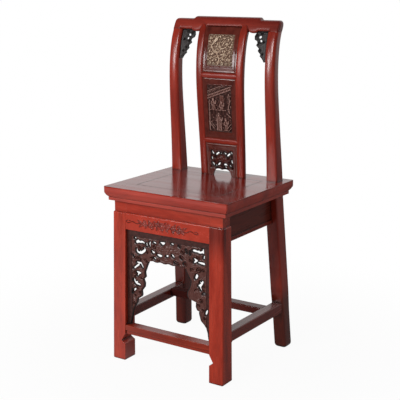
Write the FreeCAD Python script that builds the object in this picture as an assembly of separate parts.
import FreeCAD, Part
import os
from FreeCAD import Vector

os.makedirs("parts", exist_ok=True)

# A lacquered side chair. Millimetres, +Z up, the sitter faces -Y, the floor is z = 0 and the
# origin lies under the middle of the chair's bounding box.

# Overall
seat_height = 500.0
seat_width = 397.0
seat_depth = 358.0
back_foot_overhang = 18.0
fit_clearance = 0.2
overrun = 20.0

# Seat frame: four mitred rails with a moulded edge, round a floating panel
rail_width = 65.0
seat_thickness = 39.0
seat_band_height = 12.0
seat_edge_height = 29.5
seat_edge_inset = 9.4
seat_edge_bulge = 1.9
seat_quirk_inset = 10.6
seat_quirk_height = 0.8
seat_lip_inset = 9.6
seat_corner_radius = 4.0
mitre_tenon_width = 20.0
mitre_tenon_thickness = 11.0
mitre_tenon_length = 30.0
panel_thickness = 12.0
panel_gap = 1.2
panel_tongue = 5.0
panel_tongue_thickness = 5.0
panel_tongue_drop = 4.0
panel_tongue_slack = 0.5
batten_width = 36.0
batten_height = 20.0
batten_key_width = 22.0
batten_key_flare = 3.0
batten_key_height = 4.0
batten_tenon_width = 24.0
batten_tenon_thickness = 10.0
batten_tenon_length = 14.0

# Front legs: outer corner under the seat, splay to the floor, and the hoof foot
waist_height = 31.0
front_leg_width = 43.0
front_leg_depth = 47.0
front_leg_taper = 9.0
front_leg_inset_x = 19.5
front_leg_inset_y = 15.0
front_leg_splay_x = 5.0
front_leg_splay_y = 7.0
front_leg_arris_round = 5.0
foot_round = 3.5
shoulder_round = 3.0
neck_setback = 4.0
leg_tenon_size = 18.0
leg_tenon_length = 24.0
hoof_height = 50.0
hoof_notch_height = 8.0
hoof_notch_depth = 13.0

# Back posts: splayed leg below the seat, curved post above it, one piece
back_leg_width = 33.5
back_leg_depth = 41.0
back_leg_inset_x = 23.5
back_leg_splay_x = 20.5
back_leg_step = 3.1
back_leg_round = 3.0
post_inset_x = 21.5
post_lean = 5.0
post_width = 32.0
post_depth_bottom = 37.0
post_depth_top = 28.0
post_waist_reveal = 3.0
post_back_inset = 61.5
post_round = 7.0
post_tenon_width = 14.0
post_tenon_depth = 12.0
post_tenon_length = 16.0

# Curve of the back seen from the side: share of its height, share of its sweep
back_height = 442.0
back_sweep = 45.0
back_curve_shares = [(-0.02, 0.0), (0.23, -0.18), (0.455, -0.38), (0.64, -0.48),
                     (0.80, -0.38), (0.91, -0.11), (1.0, 0.33), (1.06, 0.66)]

# Crest rail
crest_end_height = 30.0
crest_raise = 6.5
crest_shoulder_x = 102.0
crest_shoulder_run = 8.0
crest_dip = 5.0
crest_corner_radius = 10.0
crest_depth = 25.0
crest_round = 7.0
crest_panel_rise = 8.0
crest_dip_share = 0.62

# Splat between the posts: two stiles, two cross rails, three panels
splat_half_width_bottom = 72.5
splat_half_width_top = 79.0
splat_proud = 3.0
stile_width = 23.0
stile_depth = 17.0
stile_round = 5.0
stile_tenon_width = 6.0
stile_tenon_depth = 5.0
stile_tenon_length = 18.0
splat_rail_height = 16.5
splat_rail_depth = 15.0
splat_rail_tenon = 8.0
splat_rail_tenon_height = 8.0
splat_rail_tenon_depth = 6.0
lower_rail_share = 0.2104
upper_rail_share = 0.6335
splat_panel_setback = 2.5
splat_panel_thickness = 8.0
splat_panel_tongue = 4.0
splat_field_margin = 13.0
splat_field_rise = 19.0
splat_field_depth = 3.5
carving_proud = 1.0
arch_half_width = 30.0
arch_rise = 19.0
arch_foot = 6.0
splat_fret_width = 62.0
splat_fret_height = 48.0
splat_fret_bottom = 25.0
splat_fret_holes_shares = [(0.0, 0.86, 0.13, 0.10), (0.0, 0.40, 0.08, 0.16), (0.5, 0.82, 0.16, 0.09),
                           (0.42, 0.50, 0.10, 0.14), (0.80, 0.52, 0.12, 0.16), (0.40, 0.14, 0.12, 0.09),
                           (0.82, 0.15, 0.13, 0.10)]

# Openwork brackets under the crest rail
bracket_gap_share = 0.64
bracket_height = 80.0
bracket_setback = 10.0
bracket_thickness = 8.0
bracket_hole_radius = 4.5
bracket_tongue = 4.0
bracket_scallop_shares = [(0.90, 0.0), (1.0, 0.14), (0.80, 0.26), (0.84, 0.38), (0.60, 0.50),
                          (0.62, 0.62), (0.36, 0.74), (0.32, 0.86), (0.10, 1.0)]
bracket_hole_shares = [(0.58, 0.16), (0.44, 0.38), (0.30, 0.58)]

# Waist board and apron between the front legs
waist_thickness = 12.0
waist_tongue = 5.0
waist_tongue_thickness = 6.0
apron_height = 46.0
apron_thickness = 16.0
board_tenon_length = 10.0
board_tenon_thickness = 7.0
board_tenon_margin = 7.0

# Carved fretwork under the apron: one top strip and two side pieces
fret_setback = 8.0
fret_thickness = 9.0
fret_top_height = 83.0
fret_bottom_gap = 3.0
fret_tongue = 4.0
fret_tongue_thickness = 5.0
fret_side_width = 79.0
fret_scallop_shares = [(1.0, 0.0), (0.92, 0.09), (0.76, 0.25), (0.69, 0.31), (0.74, 0.38),
                       (0.60, 0.47), (0.62, 0.54), (0.45, 0.60), (0.40, 0.68), (0.22, 0.78),
                       (0.12, 0.90), (0.08, 1.0)]
fret_side_holes_shares = [(0.26, 0.06, 0.12, 0.04), (0.66, 0.07, 0.11, 0.03), (0.26, 0.19, 0.10, 0.04),
                          (0.58, 0.18, 0.10, 0.04), (0.24, 0.31, 0.10, 0.03), (0.47, 0.33, 0.07, 0.04),
                          (0.24, 0.43, 0.09, 0.04), (0.22, 0.56, 0.08, 0.04), (0.14, 0.70, 0.05, 0.03)]
fret_top_holes_shares = [(0.42, 0.22, 0.09, 0.07), (0.64, 0.20, 0.08, 0.06), (0.85, 0.24, 0.09, 0.08),
                         (0.38, 0.52, 0.05, 0.09), (0.60, 0.49, 0.06, 0.09), (0.83, 0.52, 0.09, 0.07),
                         (0.46, 0.80, 0.09, 0.06), (0.68, 0.78, 0.08, 0.07), (0.87, 0.80, 0.07, 0.07)]

# Side and back aprons
side_apron_setback = 22.0
side_apron_thickness = 12.0
side_apron_height = 82.0
side_apron_bead_height = 10.0
side_apron_bead_reach = 3.0
back_apron_height = 60.0
back_apron_thickness = 14.0
back_apron_setback = 17.0

# Stretchers
front_stretcher_top = 106.0
front_stretcher_height = 26.0
front_stretcher_depth = 28.0
front_stretcher_setback = 0.8
front_stretcher_step = 3.0
front_stretcher_step_height = 11.0
side_stretcher_top = 140.0
side_stretcher_height = 29.0
side_stretcher_width = 29.5
side_stretcher_front_inset = 1.0
side_stretcher_back_inset = 3.0
side_haunch_length = 12.0
side_haunch_drop = 8.0
back_stretcher_gap = 38.0
back_stretcher_depth = 30.0
back_stretcher_height = 21.0
stretcher_tenon_length = 22.0
stretcher_tenon_thickness = 10.0
stretcher_tenon_height = 17.0
stretcher_round = 2.5

# Places that several pieces share
overall_depth = seat_depth + back_foot_overhang
seat_front_y = -overall_depth / 2
seat_back_y = seat_front_y + seat_depth
seat_mid_y = (seat_front_y + seat_back_y) / 2
seat_under = seat_height - seat_thickness
shoulder_height = seat_under - waist_height
back_top = seat_height + back_height
crest_under = back_top - crest_end_height
lower_rail_bottom = seat_height + back_height * lower_rail_share
upper_rail_bottom = seat_height + back_height * upper_rail_share
post_front_y = seat_back_y - post_back_inset
post_outer_x = seat_width / 2 - post_inset_x
back_leg_outer_x = seat_width / 2 - back_leg_inset_x
back_leg_front_y = post_front_y + back_leg_step
back_leg_splay_y = seat_back_y + back_foot_overhang - back_leg_depth - back_leg_front_y
front_leg_outer_x = seat_width / 2 - front_leg_inset_x
front_leg_outer_y = seat_front_y + front_leg_inset_y
fret_top_z = shoulder_height - apron_height
fret_side_top = fret_top_z - fret_top_height
fret_side_height = fret_side_top - front_stretcher_top - fret_bottom_gap


def span(low, length):
    return (low, low + length)


def centred(middle, length):
    return (middle - length / 2, middle + length / 2)


def box(x, y, z):
    """A block between pairs of coordinates."""
    return Part.makeBox(x[1] - x[0], y[1] - y[0], z[1] - z[0], Vector(x[0], y[0], z[0]))


def grown(x, y, z):
    """The mortise for a tenon that fills these pairs of coordinates."""
    c = fit_clearance
    return box((x[0] - c, x[1] + c), (y[0] - c, y[1] + c), (z[0] - c, z[1] + c))


def closed_face(points):
    return Part.Face(Part.makePolygon(points + points[:1]))


def plate_xz(points, y):
    """A front-view outline of (x, z) points, thick from y[0] to y[1]."""
    face = closed_face([Vector(px, y[0], pz) for px, pz in points])
    return face.extrude(Vector(0, y[1] - y[0], 0))


def plate_yz(points, x):
    """A side-view outline of (y, z) points, thick from x[0] to x[1]."""
    face = closed_face([Vector(x[0], py, pz) for py, pz in points])
    return face.extrude(Vector(x[1] - x[0], 0, 0))


def plate_xy(points, z):
    """A plan outline of (x, y) points, thick from z[0] to z[1]."""
    face = closed_face([Vector(px, py, z[0]) for px, py in points])
    return face.extrude(Vector(0, 0, z[1] - z[0]))


def rod_y(px, pz, radius, y):
    return Part.makeCylinder(radius, y[1] - y[0], Vector(px, y[0], pz), Vector(0, 1, 0))


def oval_y(px, pz, half_width, half_height, y):
    """A rounded hole through a plate, half_width along x and half_height along z."""
    block = box(centred(px, half_width * 2), y, centred(pz, half_height * 2))
    radius = min(half_width, half_height) - fit_clearance
    return block.makeFillet(radius, [edge for edge in block.Edges if edge.Length > overall_depth])


def smooth_plate_xz(points, y):
    """A front-view outline whose listed run is one smooth curve, closed by straight lines."""
    run, rest = points
    curve = Part.BSplineCurve()
    curve.interpolate([Vector(px, y[0], pz) for px, pz in run])
    path = [run[-1]] + rest + [run[0]]
    corners = [Vector(px, y[0], pz) for px, pz in path]
    lines = [Part.makeLine(a, b) for a, b in zip(corners, corners[1:])]
    face = Part.Face(Part.Wire([curve.toShape()] + lines))
    return face.extrude(Vector(0, y[1] - y[0], 0))


def rectangle(x, y, z):
    corners = [Vector(x[0], y[0], z), Vector(x[1], y[0], z), Vector(x[1], y[1], z), Vector(x[0], y[1], z)]
    return Part.makePolygon(corners + corners[:1])


def taper(lower, upper):
    """A bar between two level rectangles, each given as (x pair, y pair, z)."""
    return Part.makeLoft([rectangle(*lower), rectangle(*upper)], True, True)


def upright_edges(shape):
    """Edges that run mostly up."""
    found = []
    for edge in shape.Edges:
        ends = [vertex.Point for vertex in edge.Vertexes]
        if len(ends) == 2:
            run = ends[1] - ends[0]
            if abs(run.z) > abs(run.x) + abs(run.y):
                found.append(edge)
    return found


def long_edges(shape, axis):
    """Edges along one axis, 0 for x and 1 for y."""
    found = []
    for edge in shape.Edges:
        ends = [vertex.Point for vertex in edge.Vertexes]
        if len(ends) == 2:
            run = ends[1] - ends[0]
            if abs(run[axis]) > overrun and abs(run[axis]) > abs(run[1 - axis]) + abs(run.z):
                found.append(edge)
    return found


def mirrored(shape):
    return shape.mirror(Vector(0, 0, 0), Vector(1, 0, 0))


def save(name, shape):
    solid = shape.removeSplitter()
    if len(solid.Solids) == 1:
        solid = solid.Solids[0]
    solid.exportStep("parts/" + name + ".step")


def save_pair(name, right):
    save(name + "_right", right)
    save(name + "_left", mirrored(right))


# The side curve of the back

def back_curve(offset_bottom, offset_top):
    """Side curve of the back, moved back by an offset that changes evenly with height."""
    points = []
    for height_share, sweep_share in back_curve_shares:
        offset = offset_bottom + (offset_top - offset_bottom) * height_share
        points.append(Vector(0, post_front_y + back_sweep * sweep_share + offset,
                             seat_height + back_height * height_share))
    curve = Part.BSplineCurve()
    curve.interpolate(points)
    return curve


def curved_slab(front, back, x, z):
    """Everything between two side curves, within the x pair and the z pair."""
    front_curve = back_curve(*front)
    rear_curve = back_curve(*back)
    f0, f1 = front_curve.StartPoint, front_curve.EndPoint
    r0, r1 = rear_curve.StartPoint, rear_curve.EndPoint
    wire = Part.Wire([front_curve.toShape(), Part.makeLine(f1, r1),
                      rear_curve.toShape(), Part.makeLine(r0, f0)])
    slab = Part.Face(wire).extrude(Vector(x[1] - x[0], 0, 0))
    slab.translate(Vector(x[0], 0, 0))
    return slab.common(box((x[0] - overrun, x[1] + overrun), (-overall_depth, overall_depth), z))


def level_slab(setback, thickness, x, z):
    return curved_slab((setback, setback), (setback + thickness, setback + thickness), x, z)


def back_y(z):
    """Place of the side curve at one height."""
    level = Part.makeLine(Vector(0, -overall_depth, z), Vector(0, overall_depth, z))
    return back_curve(0, 0).toShape().distToShape(level)[1][0][0].y


# Seat frame

def seat_rail(length):
    """One rail along x, its moulded edge facing -Y at y = 0, mitred at both ends."""
    top = seat_height
    edge = top - seat_edge_height
    p0 = Vector(0, 0, top)
    p1 = Vector(0, 0, top - seat_band_height)
    middle = Vector(0, seat_edge_inset / 2 - seat_edge_bulge, (p1.z + edge) / 2)
    p2 = Vector(0, seat_edge_inset, edge)
    p3 = Vector(0, seat_quirk_inset, edge)
    p4 = Vector(0, seat_quirk_inset, edge - seat_quirk_height)
    p5 = Vector(0, seat_lip_inset, edge - seat_quirk_height)
    p6 = Vector(0, seat_lip_inset, seat_under)
    p7 = Vector(0, rail_width, seat_under)
    p8 = Vector(0, rail_width, top)
    edges = [Part.makeLine(p0, p1), Part.Arc(p1, middle, p2).toShape()]
    run = [p2, p3, p4, p5, p6, p7, p8, p0]
    edges += [Part.makeLine(a, b) for a, b in zip(run, run[1:])]
    bar = Part.Face(Part.Wire(edges)).extrude(Vector(length, 0, 0))
    bar.translate(Vector(-length / 2, 0, 0))
    half = length / 2
    inner = half - rail_width
    mitre = plate_xy([(-half, 0), (half, 0), (inner, rail_width), (-inner, rail_width)],
                     (seat_under - overrun, top + overrun))
    groove = grown((-half, half), (rail_width - panel_tongue - panel_tongue_slack, rail_width + overrun),
                   span(top - panel_tongue_drop - panel_tongue_thickness, panel_tongue_thickness))
    return bar.common(mitre).cut(groove)


def mitre_tenons(length):
    """Spans of the two tenons that stand on the mitres of one long rail."""
    half = length / 2
    middle = rail_width / 2
    y = centred(middle, mitre_tenon_width)
    z = centred(seat_height - seat_thickness / 2, mitre_tenon_thickness)
    inner = half - y[1]
    return [((inner, inner + mitre_tenon_length), y, z), ((-inner - mitre_tenon_length, -inner), y, z)]


def placed(shape, turn, x, y):
    copy = shape.copy()
    copy.rotate(Vector(0, 0, 0), Vector(0, 0, 1), turn)
    copy.translate(Vector(x, y, 0))
    return copy


long_rail = seat_rail(seat_width)
short_rail = seat_rail(seat_depth)
tenon_blocks = [box(*spans) for spans in mitre_tenons(seat_width)]
tenon_holes = [grown(*spans) for spans in mitre_tenons(seat_width)]
long_rail = long_rail.fuse(tenon_blocks)
seat_rails = {
    "seat_rail_front": placed(long_rail, 0, 0, seat_front_y),
    "seat_rail_back": placed(long_rail, 180, 0, seat_back_y),
    "seat_rail_right": placed(short_rail, 90, seat_width / 2, seat_mid_y),
    "seat_rail_left": placed(short_rail, -90, -seat_width / 2, seat_mid_y),
}
corner_block = box((-seat_width / 2, seat_width / 2), (seat_front_y, seat_back_y), (seat_under, seat_height))
rounded_block = corner_block.makeFillet(seat_corner_radius, upright_edges(corner_block))
side_mortises = [placed(hole, 0, 0, seat_front_y) for hole in tenon_holes]
side_mortises += [placed(hole, 180, 0, seat_back_y) for hole in tenon_holes]

panel_half_x = seat_width / 2 - rail_width
panel_y = (seat_front_y + rail_width, seat_back_y - rail_width)
panel_under = seat_height - panel_thickness
seat_panel = box((-panel_half_x + panel_gap, panel_half_x - panel_gap),
                 (panel_y[0] + panel_gap, panel_y[1] - panel_gap), (panel_under, seat_height))
seat_panel = seat_panel.fuse(box((-panel_half_x - panel_tongue, panel_half_x + panel_tongue),
                                 (panel_y[0] - panel_tongue, panel_y[1] + panel_tongue),
                                 span(seat_height - panel_tongue_drop - panel_tongue_thickness,
                                      panel_tongue_thickness)))


def batten_key(slack):
    half = batten_key_width / 2 + slack
    foot = half - batten_key_flare
    low, high = panel_under, panel_under + batten_key_height + slack
    return plate_xz([(-foot, low), (foot, low), (half, high), (-half, high)], panel_y)


batten_z = (panel_under - batten_height, panel_under)
batten_tenons = [(centred(0, batten_tenon_width), span(y0, batten_tenon_length),
                  centred(sum(batten_z) / 2, batten_tenon_thickness))
                 for y0 in (panel_y[0] - batten_tenon_length, panel_y[1])]
seat_batten = box(centred(0, batten_width), panel_y, batten_z).fuse(batten_key(0))
seat_batten = seat_batten.fuse([box(*spans) for spans in batten_tenons])
seat_panel = seat_panel.cut(batten_key(fit_clearance))


# Front legs, right one modelled

def front_leg_spans(z):
    """The leg's x pair and y pair at one height."""
    lower = 1 - z / shoulder_height
    x = front_leg_outer_x + front_leg_splay_x * lower
    y = front_leg_outer_y - front_leg_splay_y * lower
    depth = front_leg_depth - front_leg_taper * (1 - lower)
    return (x - front_leg_width, x), (y, y + depth)


def foot_edges(leg):
    """Edges round the bottom face of a leg."""
    return [edge for edge in leg.Edges if edge.BoundBox.ZMax < foot_round]


def front_leg_blank():
    """Splayed leg: only its outer front arris and its shoulder are rounded, so boards meet sharp edges."""
    leg = taper((*front_leg_spans(0), 0), (*front_leg_spans(shoulder_height), shoulder_height))
    middle = leg.CenterOfMass
    arris = [edge for edge in upright_edges(leg)
             if edge.CenterOfMass.x > middle.x and edge.CenterOfMass.y < middle.y]
    leg = leg.makeFillet(front_leg_arris_round, arris)
    leg = leg.makeFillet(foot_round, foot_edges(leg))
    shoulder = [edge for edge in long_edges(leg, 0)
                if edge.CenterOfMass.z > middle.z and edge.CenterOfMass.y < middle.y]
    leg = leg.makeFillet(shoulder_round, shoulder)
    inner = front_leg_spans(hoof_height)[0][0]
    notch_top = front_stretcher_top - front_stretcher_height
    notch = plate_xz([(inner - overrun, notch_top), (inner, notch_top),
                      (inner + hoof_notch_depth, hoof_height + hoof_notch_height), (inner, hoof_height),
                      (inner - overrun, hoof_height)],
                     (front_leg_outer_y - overrun, front_leg_outer_y + front_leg_depth + overrun))
    x, y = front_leg_spans(shoulder_height)
    neck = box((x[0], x[1] - neck_setback), (y[0] + neck_setback, y[1]), (shoulder_height, seat_under))
    return leg.cut(notch).fuse(neck)


front_leg = front_leg_blank()
front_leg_solid = front_leg.copy()
leg_x, leg_y = front_leg_spans(shoulder_height)
leg_tenon = (centred(sum(leg_x) / 2, leg_tenon_size), centred(sum(leg_y) / 2, leg_tenon_size),
             span(seat_under, leg_tenon_length))
front_leg = front_leg.fuse(box(*leg_tenon))


# Back posts, right one modelled

def back_leg_spans(z):
    lower = 1 - z / seat_under
    x = back_leg_outer_x + back_leg_splay_x * lower
    y = back_leg_front_y + back_leg_splay_y * lower
    return (x - back_leg_width, x), (y, y + back_leg_depth)


def back_leg_blank():
    leg = taper((*back_leg_spans(0), 0), (*back_leg_spans(seat_under), seat_under))
    return leg.makeFillet(back_leg_round, upright_edges(leg) + foot_edges(leg))


back_leg = back_leg_blank()
back_leg_solid = back_leg.copy()
whole = (-overall_depth, overall_depth)
whole_x = (-seat_width / 2, seat_width / 2)
back_z = (seat_height, crest_under)
post_foot_x = (post_outer_x - post_width, post_outer_x)
post_head_x = (post_foot_x[0] - post_lean, post_foot_x[1] - post_lean)
waist_x = (post_foot_x[0] + post_waist_reveal, back_leg_outer_x - post_waist_reveal)
waist_y = (back_leg_front_y + post_waist_reveal, post_front_y + post_depth_bottom - post_waist_reveal)
post_waist = (waist_x, waist_y, (seat_under, seat_height))
post_face = plate_xz([(post_foot_x[0], seat_height), (post_foot_x[1], seat_height),
                      (post_head_x[1], crest_under), (post_head_x[0], crest_under)], whole)
post = post_face.common(curved_slab((0, 0), (post_depth_bottom, post_depth_top), whole_x, back_z))
post = post.makeFillet(post_round, upright_edges(post))


def head_tenon(x, setback, depth, length, slack):
    """Tenon that leans with the back and stands in the crest rail, widened by a slack for its mortise."""
    return level_slab(setback - slack, depth + slack * 2, (x[0] - slack, x[1] + slack),
                      (crest_under, crest_under + length + slack))


post_tenon = (centred(sum(post_head_x) / 2, post_tenon_width), (post_depth_top - post_tenon_depth) / 2,
              post_tenon_depth, post_tenon_length)
back_post = back_leg.fuse([box(*post_waist), post, head_tenon(*post_tenon, 0)])


# Crest rail

def crest_outline(y):
    """Front view: raised middle with small shoulders, dips beside the splat on the underside."""
    end_x = post_head_x[1]
    dip_width = (post_head_x[0] - splat_half_width_top) * crest_dip_share
    splat_x = splat_half_width_top
    field_x = splat_half_width_top - stile_width
    high = back_top + crest_raise
    shoulder = crest_shoulder_x + crest_shoulder_run
    field_z = crest_under + crest_panel_rise

    def right_half(side):
        return [(side * shoulder, back_top), (side * crest_shoulder_x, high)]

    body = plate_xz([(-end_x, crest_under), (-end_x, back_top)] + right_half(-1)
                    + [(crest_shoulder_x, high), (shoulder, back_top)]
                    + [(end_x, back_top), (end_x, crest_under), (field_x, crest_under), (field_x, field_z),
                       (-field_x, field_z), (-field_x, crest_under)], y)
    dips = []
    for side in (-1, 1):
        a = Vector(side * splat_x, y[0], crest_under)
        b = Vector(side * (splat_x + dip_width / 2), y[0], crest_under - crest_dip)
        c = Vector(side * (splat_x + dip_width), y[0], crest_under)
        face = Part.Face(Part.Wire([Part.Arc(a, b, c).toShape(), Part.makeLine(c, a)]))
        dips.append(face.extrude(Vector(0, y[1] - y[0], 0)))
    body = body.fuse(dips)
    corners = [edge for edge in long_edges(body, 1)
               if min(vertex.Point.z for vertex in edge.Vertexes) > back_top - fit_clearance
               and abs(edge.Vertexes[0].Point.x) > end_x - fit_clearance]
    return body.makeFillet(crest_corner_radius, corners)


def crest_blank():
    whole_y = (-overall_depth, overall_depth)
    z = (crest_under - crest_dip - overrun, back_top + crest_raise + overrun)
    slab = level_slab(0, crest_depth, (-seat_width / 2, seat_width / 2), z)
    rail = crest_outline(whole_y).common(slab)
    tops = [edge for edge in rail.Edges
            if edge.CenterOfMass.z > back_top - crest_corner_radius and edge.BoundBox.YLength < crest_round]
    return rail.makeFillet(crest_round, tops)


crest_rail = crest_blank()
crest_mortise = head_tenon(*post_tenon, fit_clearance)
crest_rail = crest_rail.cut([crest_mortise, mirrored(crest_mortise)])


# Splat

def splat_half_width(z):
    share = (z - seat_height) / back_height
    return splat_half_width_bottom + (splat_half_width_top - splat_half_width_bottom) * share


def strip(inner, outer, z, y):
    """Front-view strip beside the splat's tapering edge, between two insets from that edge."""
    points = [(splat_half_width(z[0]) - inner, z[0]), (splat_half_width(z[0]) - outer, z[0]),
              (splat_half_width(z[1]) - outer, z[1]), (splat_half_width(z[1]) - inner, z[1])]
    return plate_xz(points, y)


def field(margin, z):
    """Front-view shape between the stiles, widened or narrowed by a margin on each side."""
    low = splat_half_width(z[0]) - stile_width - margin
    high = splat_half_width(z[1]) - stile_width - margin
    return plate_xz([(-low, z[0]), (low, z[0]), (high, z[1]), (-high, z[1])], (-overall_depth, overall_depth))


stile = strip(stile_width, 0, back_z, whole).common(level_slab(-splat_proud, stile_depth, whole_x, back_z))
stile = stile.makeFillet(stile_round, upright_edges(stile))
stile_solid_width = stile_width - splat_panel_tongue
stile_middle = splat_half_width_bottom - stile_solid_width / 2
stile_foot = (centred(stile_middle, stile_tenon_width),
              centred(post_front_y - splat_proud + stile_depth / 2, stile_tenon_depth),
              (seat_height - stile_tenon_length, seat_height))
stile_head_x = splat_half_width(crest_under) - stile_solid_width / 2
stile_head = (centred(stile_head_x, stile_tenon_width), (stile_depth - stile_tenon_depth) / 2 - splat_proud,
              stile_tenon_depth, stile_tenon_length - crest_panel_rise)
stile = stile.fuse([box(*stile_foot), head_tenon(*stile_head, 0)])
stile_mortise = head_tenon(*stile_head, fit_clearance)
crest_rail = crest_rail.cut([stile_mortise, mirrored(stile_mortise)])

panel_front = splat_panel_setback - splat_proud
panel_bands = {
    "top": (upper_rail_bottom + splat_rail_height, crest_under + crest_panel_rise),
    "middle": (lower_rail_bottom + splat_rail_height, upper_rail_bottom),
    "bottom": (seat_height, lower_rail_bottom),
}
stile_groove = strip(stile_width + overrun, stile_width - splat_panel_tongue - fit_clearance, back_z, whole)
stile_groove = stile_groove.common(level_slab(panel_front - fit_clearance,
                                              splat_panel_thickness + fit_clearance * 2, whole_x, back_z))
stile = stile.cut(stile_groove)

splat_rails = {}
for rail_name, low in (("splat_rail_upper", upper_rail_bottom), ("splat_rail_lower", lower_rail_bottom)):
    z = span(low, splat_rail_height)
    bar = field(0, z).common(level_slab(-splat_proud, splat_rail_depth, whole_x, z))
    middle_z = sum(z) / 2
    middle_y = back_y(middle_z) - splat_proud + splat_rail_depth / 2
    bar = bar.makeFillet(stile_round, [edge for edge in long_edges(bar, 0) if edge.CenterOfMass.y < middle_y])
    tenon_z = centred(middle_z, splat_rail_tenon_height)
    tenon_y = centred(back_y(middle_z) + panel_front + splat_panel_thickness / 2, splat_rail_tenon_depth)
    reach = splat_half_width(middle_z) - stile_width + splat_rail_tenon
    tenon = (splat_half_width(z[0]) - stile_width - fit_clearance, reach)
    blocks = [box(tenon, tenon_y, tenon_z), box((-reach, -tenon[0]), tenon_y, tenon_z)]
    stile = stile.cut(grown(tenon, tenon_y, tenon_z))
    groove = level_slab(panel_front - fit_clearance, splat_panel_thickness + fit_clearance * 2, whole_x,
                        (z[0] - overrun, z[0] + splat_panel_tongue + fit_clearance))
    upper_groove = level_slab(panel_front - fit_clearance, splat_panel_thickness + fit_clearance * 2,
                              whole_x, (z[1] - splat_panel_tongue - fit_clearance, z[1] + overrun))
    splat_rails[rail_name] = bar.cut([groove, upper_groove]).fuse(blocks)


def splat_panel(z, tongue_low, tongue_high):
    full = (z[0] - tongue_low, z[1] + tongue_high)
    return field(-splat_panel_tongue, full).common(
        level_slab(panel_front, splat_panel_thickness, whole_x, full))


def carved_field(panel, z):
    """Sink a field into the panel's face for a carved plaque; return the panel and the plaque."""
    inner_z = (z[0] + splat_field_rise, z[1] - splat_field_rise)
    sunk = field(splat_field_margin, inner_z).common(
        level_slab(-splat_proud, splat_panel_setback + splat_field_depth, whole_x, inner_z))
    plaque_z = (inner_z[0] + fit_clearance, inner_z[1] - fit_clearance)
    plaque = field(splat_field_margin + fit_clearance, plaque_z).common(
        level_slab(panel_front - carving_proud, splat_field_depth + carving_proud, whole_x, plaque_z))
    return panel.cut(sunk), plaque


panels = {}
carvings = {}
for panel_name in ("top", "middle"):
    z = panel_bands[panel_name]
    blank = splat_panel(z, splat_panel_tongue, splat_panel_tongue)
    panels[panel_name], carvings[panel_name] = carved_field(blank, z)
bottom_panel = splat_panel(panel_bands["bottom"], 0, splat_panel_tongue)
arch_run = [(-arch_half_width, seat_height), (-arch_half_width + arch_foot, seat_height + arch_rise / 2),
            (0, seat_height + arch_rise), (arch_half_width - arch_foot, seat_height + arch_rise / 2),
            (arch_half_width, seat_height)]
arch_low = seat_height - overrun
arch = smooth_plate_xz((arch_run, [(arch_half_width, arch_low), (-arch_half_width, arch_low)]), whole)
openings = []
for across, up, half_width, half_height in splat_fret_holes_shares:
    z = seat_height + splat_fret_bottom + splat_fret_height * up
    for side in sorted({-across, across}):
        openings.append(oval_y(side * splat_fret_width / 2, z, splat_fret_width / 2 * half_width,
                               splat_fret_height * half_height, whole))
panels["bottom"] = bottom_panel.cut([arch] + openings)
crest_groove_x = splat_half_width(back_top) - stile_solid_width + fit_clearance
crest_groove = level_slab(panel_front - fit_clearance, splat_panel_thickness + fit_clearance * 2,
                          (-crest_groove_x, crest_groove_x),
                          (crest_under, crest_under + crest_panel_rise + splat_panel_tongue + fit_clearance))
crest_rail = crest_rail.cut(crest_groove)


# Brackets in the corners of the back, right one modelled

def post_inner(z):
    share = (z - seat_height) / (crest_under - seat_height)
    return post_foot_x[0] - post_lean * share


def bracket():
    bracket_width = (post_head_x[0] - splat_half_width_top) * bracket_gap_share
    run = []
    for across, down in bracket_scallop_shares:
        z = crest_under - bracket_height * down
        run.append((post_inner(z) - bracket_width * across, z))
    low = crest_under - bracket_height
    outline = smooth_plate_xz((run, [(post_inner(low) + bracket_tongue, low),
                                     (post_inner(crest_under) + bracket_tongue, crest_under)]), whole)
    slab = level_slab(bracket_setback, bracket_thickness, whole_x, (low - overrun, crest_under))
    holes = []
    for across, down in bracket_hole_shares:
        z = crest_under - bracket_height * down
        holes.append(rod_y(post_inner(z) - bracket_width * across, z, bracket_hole_radius, whole))
    return outline.common(slab).cut(holes).cut(crest_rail)


crest_bracket = bracket()
groove_low = crest_under - bracket_height - fit_clearance
groove_depth = bracket_tongue + fit_clearance
groove_ends = [(post_inner(z), z) for z in (groove_low, crest_under)]
groove_face = plate_xz([(groove_ends[0][0] - overrun, groove_low),
                        (groove_ends[0][0] + groove_depth, groove_low),
                        (groove_ends[1][0] + groove_depth, crest_under),
                        (groove_ends[1][0] - overrun, crest_under)], whole)
groove_slab = level_slab(bracket_setback - fit_clearance, bracket_thickness + fit_clearance * 2, whole_x,
                         (groove_low, crest_under))
bracket_groove = groove_face.common(groove_slab)
back_post = back_post.cut(bracket_groove)


# Waist board, apron and fretwork between the front legs

both_legs = front_leg_solid.fuse(mirrored(front_leg_solid))
inner_x = front_leg_spans(shoulder_height)[0][0]
between_legs = (-inner_x - front_leg_width / 2, inner_x + front_leg_width / 2)


def end_tenons(y, z):
    """Spans of the right-hand tenon of a board between the front legs."""
    start = front_leg_spans(sum(z) / 2)[0][0] - fit_clearance
    return (start, start + board_tenon_length), y, z


waist_front = front_leg_outer_y + neck_setback
waist = box((-inner_x, inner_x), span(waist_front, waist_thickness), (shoulder_height, seat_under))
waist_tongue_span = ((-inner_x, inner_x), span(waist_front + waist_thickness - waist_tongue_thickness,
                                               waist_tongue_thickness), span(seat_under, waist_tongue))
waist_tenon = end_tenons(centred(waist_front + waist_thickness / 2, board_tenon_thickness),
                         (shoulder_height + board_tenon_margin, seat_under - board_tenon_margin))
front_waist = waist.fuse([box(*waist_tongue_span), box(*waist_tenon), mirrored(box(*waist_tenon))])

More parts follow.
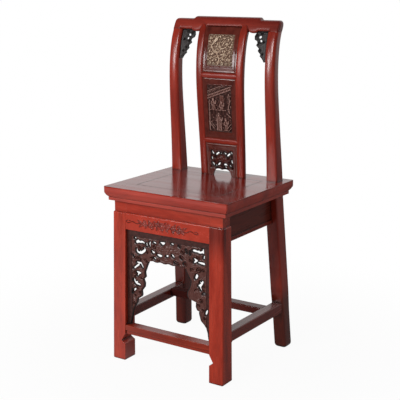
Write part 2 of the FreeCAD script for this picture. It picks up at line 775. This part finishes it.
apron_z = (shoulder_height - apron_height, shoulder_height)
apron_end = front_leg_spans(apron_z[0])[0][0]
apron = box((-apron_end, apron_end), span(front_leg_outer_y, apron_thickness), apron_z)
apron_edge = [edge for edge in long_edges(apron, 0)
              if edge.CenterOfMass.z > apron.CenterOfMass.z and edge.CenterOfMass.y < apron.CenterOfMass.y]
apron = apron.makeFillet(shoulder_round, apron_edge).cut(both_legs)
apron_tenon = end_tenons(centred(front_leg_outer_y + apron_thickness / 2, board_tenon_thickness),
                         (apron_z[0] + board_tenon_margin, apron_z[1] - board_tenon_margin))
front_apron = apron.fuse([box(*apron_tenon), mirrored(box(*apron_tenon))])

fret_y = span(front_leg_outer_y + fret_setback, fret_thickness)
fret_tongue_y = centred(sum(fret_y) / 2, fret_tongue_thickness)
fret_top = box(between_legs, fret_y, (fret_side_top, fret_top_z)).cut(both_legs)
fret_top_tongue = end_tenons(fret_tongue_y, (fret_side_top + board_tenon_margin,
                                             fret_top_z - board_tenon_margin))
fret_holes = []
for across, down, half_width, half_height in fret_top_holes_shares:
    for side in (-1, 1):
        fret_holes.append(oval_y(side * inner_x * across, fret_top_z - fret_top_height * down,
                                 inner_x * half_width, fret_top_height * half_height, whole))
fret_top = fret_top.cut(fret_holes).fuse([box(*fret_top_tongue), mirrored(box(*fret_top_tongue))])


def fret_side():
    edge = front_leg_spans(fret_side_top)[0][0]
    run = [(edge - fret_side_width * across, fret_side_top - fret_side_height * down)
           for across, down in fret_scallop_shares]
    bottom = fret_side_top - fret_side_height
    outer = edge + front_leg_width / 2
    plate = smooth_plate_xz((run, [(outer, bottom), (outer, fret_side_top)]), fret_y).cut(both_legs)
    holes = [oval_y(edge - fret_side_width * across, fret_side_top - fret_side_height * down,
                    fret_side_width * half_width, fret_side_height * half_height, whole)
             for across, down, half_width, half_height in fret_side_holes_shares]
    return plate.cut(holes)


fret_side_z = (fret_side_top - fret_side_height + board_tenon_margin, fret_side_top - board_tenon_margin)
tongue_x = (front_leg_spans(fret_side_z[1])[0][0] - fit_clearance,
            front_leg_spans(fret_side_z[0])[0][0] + fret_tongue)
fret_side_right = fret_side().fuse(box(tongue_x, fret_tongue_y, fret_side_z))

front_leg = front_leg.cut([grown(*waist_tenon), grown(*apron_tenon), grown(*fret_top_tongue),
                           grown(tongue_x, fret_tongue_y, fret_side_z)])


# Side aprons and back apron

side_outer = front_leg_outer_x - side_apron_setback
side_apron_z = (seat_under - side_apron_height, seat_under)
side_apron_y = (front_leg_outer_y + front_leg_depth / 2, back_leg_front_y + back_leg_depth / 2)
side_apron = box((side_outer - side_apron_thickness, side_outer), side_apron_y, side_apron_z)
side_bead = box((side_outer - side_apron_thickness, side_outer + side_apron_bead_reach), side_apron_y,
                span(side_apron_z[0], side_apron_bead_height))
side_apron = side_apron.fuse(side_bead).cut([front_leg_solid, back_leg_solid])
side_tenon_x = centred(side_outer - side_apron_thickness / 2, board_tenon_thickness)
side_tenon_z = (side_apron_z[0] + board_tenon_margin, side_apron_z[1] - board_tenon_margin)
front_leg_back = front_leg_spans(side_tenon_z[0])[1][1]
side_apron_end = back_leg_spans(side_tenon_z[0])[1][0]
side_tenons = [
    (side_tenon_x, (front_leg_back - board_tenon_length, front_leg_back + fit_clearance), side_tenon_z),
    (side_tenon_x, (back_leg_front_y - fit_clearance, side_apron_end + board_tenon_length), side_tenon_z),
]
side_apron = side_apron.fuse([box(*spans) for spans in side_tenons])
front_leg = front_leg.cut(grown(*side_tenons[0]))
back_post = back_post.cut(grown(*side_tenons[1]))

back_apron_z = (seat_under - back_apron_height, seat_under)
back_inner_x = back_leg_spans(seat_under)[0][0]
back_apron_y = span(back_leg_front_y + back_apron_setback, back_apron_thickness)
back_apron_reach = back_inner_x + back_leg_width / 2
back_apron = box((-back_apron_reach, back_apron_reach), back_apron_y, back_apron_z)
back_apron = back_apron.cut([back_leg_solid, mirrored(back_leg_solid)])
back_tenon = ((back_inner_x - fit_clearance, back_inner_x + board_tenon_length),
              centred(sum(back_apron_y) / 2, board_tenon_thickness),
              (back_apron_z[0] + board_tenon_margin, back_apron_z[1] - board_tenon_margin))
back_apron = back_apron.fuse([box(*back_tenon), mirrored(box(*back_tenon))])
back_post = back_post.cut(grown(*back_tenon))


# Stretchers

front_z = (front_stretcher_top - front_stretcher_height, front_stretcher_top)
front_face = front_leg_spans(sum(front_z) / 2)[1][0] + front_stretcher_setback
front_end = front_leg_spans(front_z[0])[0][0]
front_bar = box((-front_end, front_end), span(front_face, front_stretcher_depth), front_z)
front_step = box((-front_end, front_end), (front_face - overrun, front_face + front_stretcher_step),
                 (front_z[0] - overrun, front_z[0] + front_stretcher_step_height))
front_bar = front_bar.cut(front_step).cut(both_legs)
front_tenon_x = front_leg_spans(front_stretcher_top)[0][0]
front_tenon = ((front_tenon_x - fit_clearance, front_tenon_x + stretcher_tenon_length),
               centred(front_face + front_stretcher_depth / 2, stretcher_tenon_thickness),
               centred(sum(front_z) / 2, stretcher_tenon_height))
front_stretcher = front_bar.fuse([box(*front_tenon), mirrored(box(*front_tenon))])
front_leg = front_leg.cut(grown(*front_tenon))

side_z = (side_stretcher_top - side_stretcher_height, side_stretcher_top)
side_front_x = front_leg_spans(sum(side_z) / 2)[0][1] - side_stretcher_front_inset
side_back_x = back_leg_spans(sum(side_z) / 2)[0][1] - side_stretcher_back_inset
side_start = front_leg_spans(side_z[1])[1][1]
side_end = back_leg_spans(side_z[1])[1][0]
side_reach = (side_start - front_leg_depth / 2, side_end + back_leg_depth / 2)
side_bar = plate_xy([(side_front_x, side_reach[0]), (side_back_x, side_reach[1]),
                     (side_back_x - side_stretcher_width, side_reach[1]),
                     (side_front_x - side_stretcher_width, side_reach[0])], side_z)
side_bar = side_bar.makeFillet(stretcher_round, long_edges(side_bar, 1))
haunch = plate_yz([(side_start - overrun, side_z[0]), (side_start - overrun, side_z[0] - side_haunch_drop),
                   (side_start, side_z[0] - side_haunch_drop), (side_start + side_haunch_length, side_z[0])],
                  (side_front_x - side_stretcher_width + stretcher_round, side_front_x - stretcher_round))
side_stretcher = side_bar.fuse(haunch).cut([front_leg_solid, back_leg_solid])
side_tenon_mid_z = centred(sum(side_z) / 2, stretcher_tenon_height)
side_stretcher_tenons = [
    (centred(side_front_x - side_stretcher_width / 2, stretcher_tenon_thickness),
     (side_start - stretcher_tenon_length, side_start + fit_clearance), side_tenon_mid_z),
    (centred(side_back_x - side_stretcher_width / 2, stretcher_tenon_thickness),
     (side_end - fit_clearance, side_end + stretcher_tenon_length), side_tenon_mid_z),
]
side_stretcher = side_stretcher.fuse([box(*spans) for spans in side_stretcher_tenons])
front_leg = front_leg.cut(grown(*side_stretcher_tenons[0]))
back_post = back_post.cut(grown(*side_stretcher_tenons[1]))

back_bar_end = back_leg_spans(side_stretcher_top)[1][0] - back_stretcher_gap
back_bar_y = (back_bar_end - back_stretcher_depth, back_bar_end)
back_bar_z = (side_stretcher_top - back_stretcher_height, side_stretcher_top)
side_bars = side_bar.fuse(mirrored(side_bar))
back_reach = side_back_x - side_stretcher_width / 2
back_bar = box((-back_reach, back_reach), back_bar_y, back_bar_z)
back_bar = back_bar.makeFillet(stretcher_round, long_edges(back_bar, 0)).cut(side_bars)
back_bar_x = side_front_x - side_stretcher_width
back_bar_tenon = ((back_bar_x - fit_clearance, back_bar_x + stretcher_tenon_length),
                  centred(sum(back_bar_y) / 2, stretcher_tenon_thickness),
                  centred(sum(back_bar_z) / 2, stretcher_tenon_thickness))
back_stretcher = back_bar.fuse([box(*back_bar_tenon), mirrored(box(*back_bar_tenon))])
side_stretcher = side_stretcher.cut(grown(*back_bar_tenon))


# Mortises in the seat frame, then every piece to its file

seat_cuts = [grown(*leg_tenon), grown(*post_waist), grown(*stile_foot)]
seat_cuts += [mirrored(cut) for cut in seat_cuts]
seat_cuts += [grown(*waist_tongue_span)] + [grown(*spans) for spans in batten_tenons]
for rail_name, rail in seat_rails.items():
    cuts = seat_cuts
    if rail_name in ("seat_rail_left", "seat_rail_right"):
        cuts = seat_cuts + side_mortises
    save(rail_name, rail.common(rounded_block).cut(cuts))
save("seat_panel", seat_panel)
save("seat_batten", seat_batten)
save_pair("front_leg", front_leg)
save_pair("back_post", back_post)
save("crest_rail", crest_rail)
save_pair("splat_stile", stile)
for rail_name, rail in splat_rails.items():
    save(rail_name, rail)
for panel_name, panel in panels.items():
    save("splat_panel_" + panel_name, panel)
for panel_name, plaque in carvings.items():
    save("splat_carving_" + panel_name, plaque)
save_pair("crest_bracket", crest_bracket)
save("front_waist", front_waist)
save("front_apron", front_apron)
save("fretwork_top", fret_top)
save_pair("fretwork_side", fret_side_right)
save_pair("side_apron", side_apron)
save("back_apron", back_apron)
save("front_stretcher", front_stretcher)
save_pair("side_stretcher", side_stretcher)
save("back_stretcher", back_stretcher)
